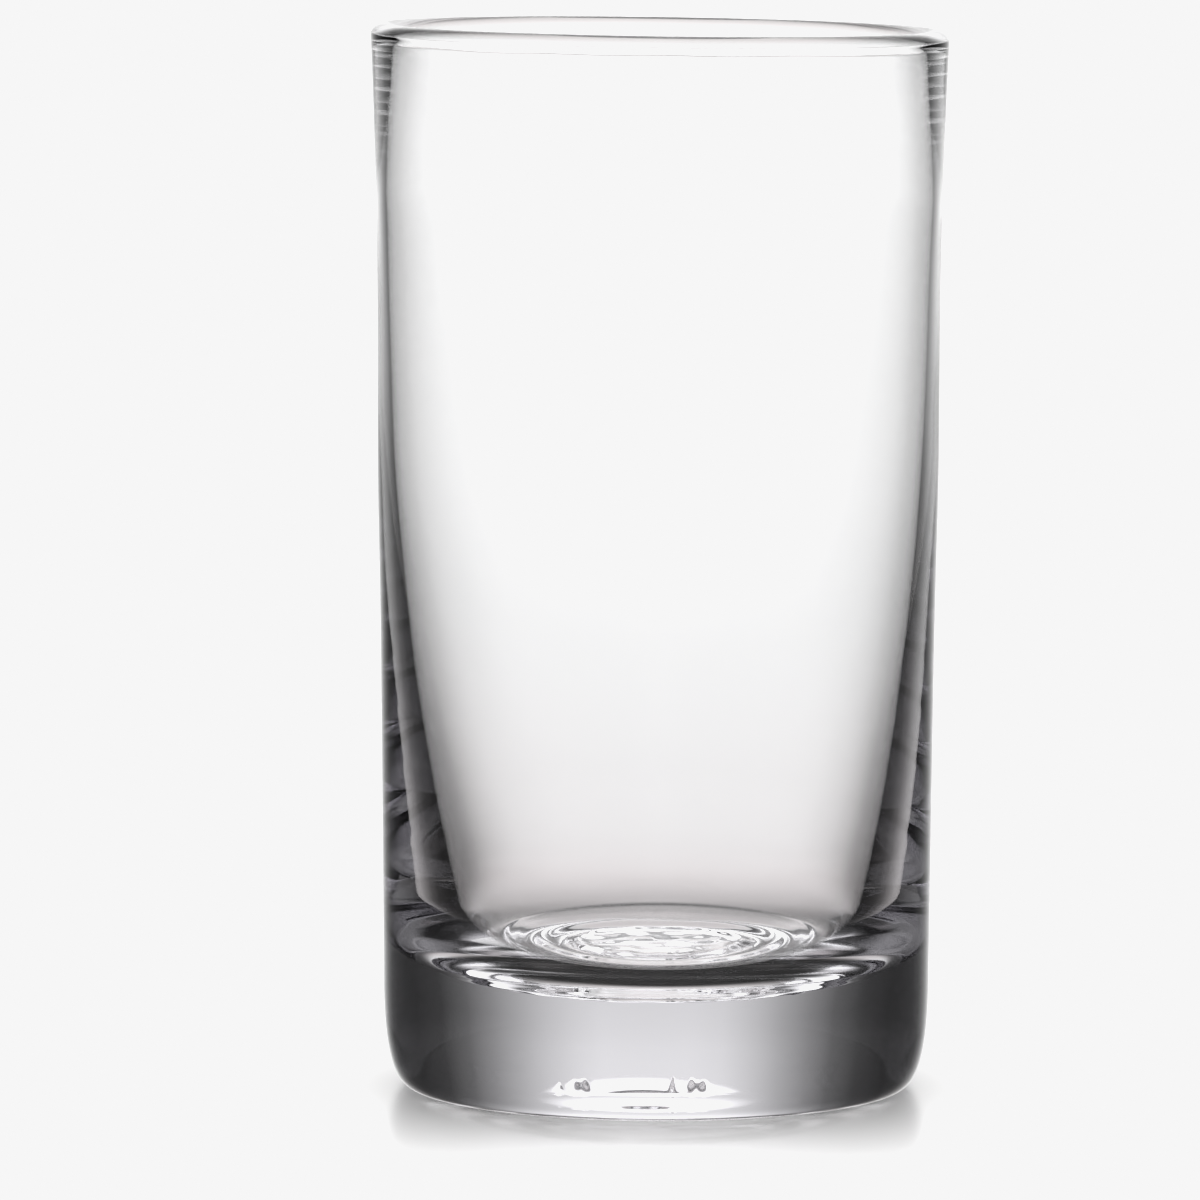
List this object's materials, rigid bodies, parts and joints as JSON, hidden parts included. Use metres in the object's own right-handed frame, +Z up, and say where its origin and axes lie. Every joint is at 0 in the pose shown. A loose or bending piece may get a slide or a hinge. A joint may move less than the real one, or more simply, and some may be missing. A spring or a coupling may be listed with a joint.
{
  "type": "highball glass",
  "caption": "Tall straight-sided clear drinking glass with a heavy solid base, a wall that thins upwards and a rounded fire-polished lip, for holding a long drink.",
  "frame": {"origin": "centre of the ring that the glass stands on, on the table", "axes": "+Z up along the axis of the glass, towards its mouth; +X to the right and +Y away from the viewer of the picture"},
  "size_m": [0.076, 0.076, 0.14],
  "materials": {
    "clear_glass": "clear, fire-polished"
  },
  "bodies": {
    "root": {"heavy_base": "clear_glass", "side_wall": "clear_glass", "pontil_mark": "clear_glass", "rim_lip": "clear_glass"}
  },
  "joints": []
}
